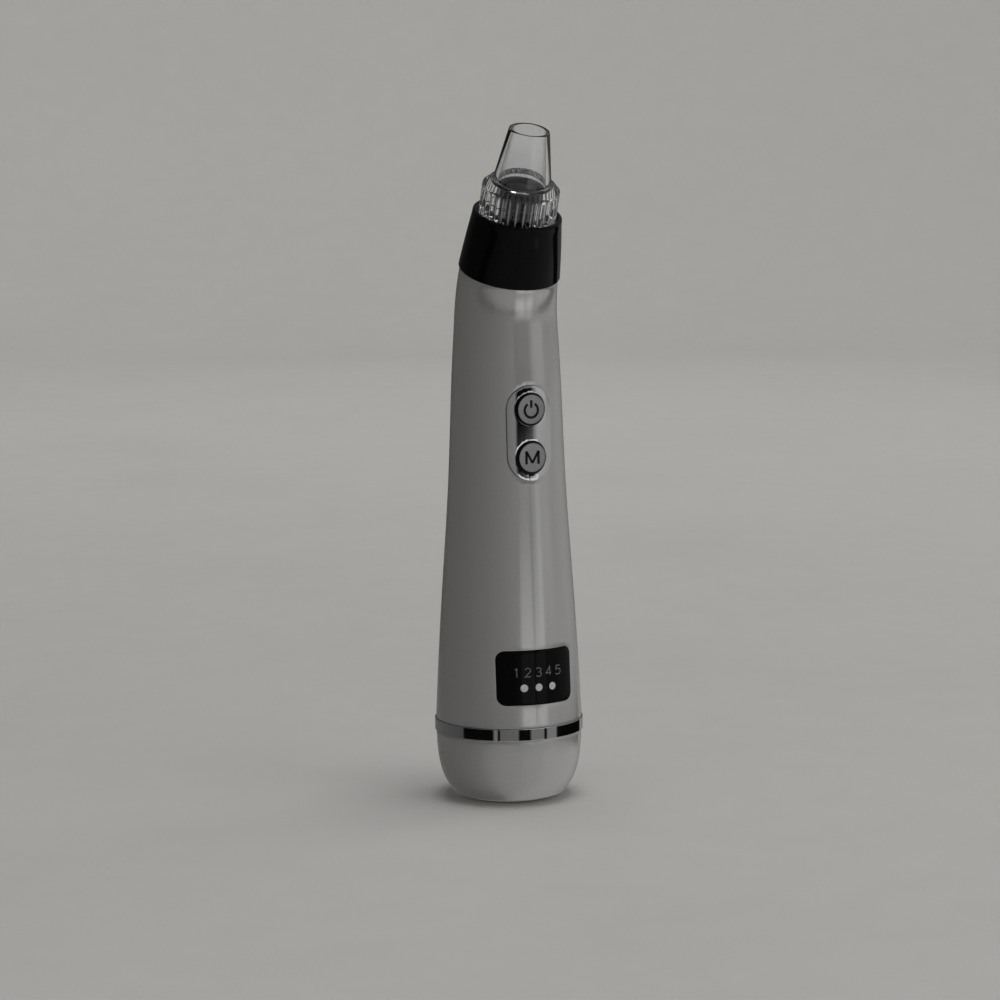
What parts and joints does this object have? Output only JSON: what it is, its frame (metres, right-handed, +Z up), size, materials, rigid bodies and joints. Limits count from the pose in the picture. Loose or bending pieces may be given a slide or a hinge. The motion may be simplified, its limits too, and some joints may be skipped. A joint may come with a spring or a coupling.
{
  "type": "blackhead vacuum extractor",
  "caption": "Hand-held battery vacuum for pores: slim white handle, black neck leaning forward, clear pull-off suction probe, push buttons and a small display.",
  "frame": {"origin": "centre of the flat foot that the handle stands on", "axes": "+Z up the handle, -Y to the front with the buttons and display, +X to the user's right of the front as seen from the front"},
  "size_m": [0.0446, 0.0454, 0.202],
  "materials": {
    "clear_plastic": "clear polished",
    "frosted_plastic": "frosted",
    "white_plastic": "high gloss",
    "black_plastic": "high gloss",
    "black_nozzle": "semi gloss",
    "smoked_lens": "high gloss",
    "mirror_chrome": "mirror",
    "button_silver": "satin",
    "inner_plastic": "moulded",
    "white_inner": "moulded",
    "black_inner": "moulded",
    "soft_rubber": "matt",
    "silicone": "satin",
    "sponge": "open cell",
    "board_green": "solder mask",
    "chip_black": "moulded",
    "led_yellow": "satin",
    "cell_wrap": "shrink sleeve",
    "steel": "bright",
    "copper": "bright",
    "magnet": "sintered",
    "wire_red": "insulated"
  },
  "bodies": {
    "handle": {"probe_seal": "soft_rubber", "nozzle": "black_nozzle", "filter_sponge": "sponge", "head_collar": "black_plastic", "led_board": "board_green", "head_leds": "led_yellow", "light_guide": "frosted_plastic", "suction_hose": "silicone", "led_leads": "wire_red", "front_shell": "white_plastic", "rear_shell": "white_plastic", "chrome_band": "mirror_chrome", "base_cap": "white_plastic", "foot_pad": "soft_rubber", "base_screws": "steel", "inner_frame": "inner_plastic", "button_panel": "mirror_chrome", "power_switch": "black_inner", "mode_switch": "black_inner", "display_window": "smoked_lens", "display_mask": "white_inner", "display_board": "board_green", "display_leds": "led_yellow", "display_ribbon": "copper", "main_board": "board_green", "board_chips": "chip_black", "board_screws": "steel", "battery_cell": "cell_wrap", "battery_tabs": "steel", "battery_leads": "wire_red", "charge_board": "board_green", "charge_port": "steel", "port_tongue": "black_inner", "charge_leads": "wire_red", "motor_can": "steel", "motor_end_bell": "black_inner", "motor_magnets": "magnet", "motor_bushes": "copper", "motor_terminals": "copper", "motor_brushes": "copper", "motor_leads": "wire_red", "motor_screws": "steel", "pump_housing": "black_inner", "diaphragm": "soft_rubber", "valve_plate": "white_inner", "valve_flaps": "soft_rubber", "pump_cover": "black_inner", "pump_screws": "steel"},
    "probe": {"suction_probe": "clear_plastic"},
    "power_key": {"power_button": "button_silver", "power_plunger": "white_inner"},
    "mode_key": {"mode_button": "button_silver", "mode_plunger": "white_inner"},
    "rotor": {"rotor_shaft": "steel", "armature_core": "steel", "armature_windings": "copper", "commutator": "copper", "drive_hub": "white_inner"},
    "wobbler": {"wobble_plate": "white_inner"}
  },
  "joints": [
    {"name": "probe_pull", "type": "slide", "parent": "handle", "child": "probe", "axis": [0, -0.3338, 0.9426], "range_m": [0, 0.016]},
    {"name": "power_button_press", "type": "slide", "parent": "handle", "child": "power_key", "axis": [0, 1, 0], "range_m": [0, 0.0005], "stiffness_N_per_m": 1500},
    {"name": "mode_button_press", "type": "slide", "parent": "handle", "child": "mode_key", "axis": [0, 1, 0], "range_m": [0, 0.0005], "stiffness_N_per_m": 1500},
    {"name": "rotor_spin", "type": "hinge", "parent": "handle", "child": "rotor", "pos_m": [0, 0.0035, 0.045], "axis": [0, 0, 1], "continuous": true},
    {"name": "wobble_nod", "type": "hinge", "parent": "rotor", "child": "wobbler", "pos_m": [0, 0.0035, 0.069], "axis": [0, -0.0872, 0.9962], "continuous": true}
  ],
  "couplings": [
    {"joint": "wobble_nod", "follows": "rotor_spin", "ratio": -1}
  ]
}
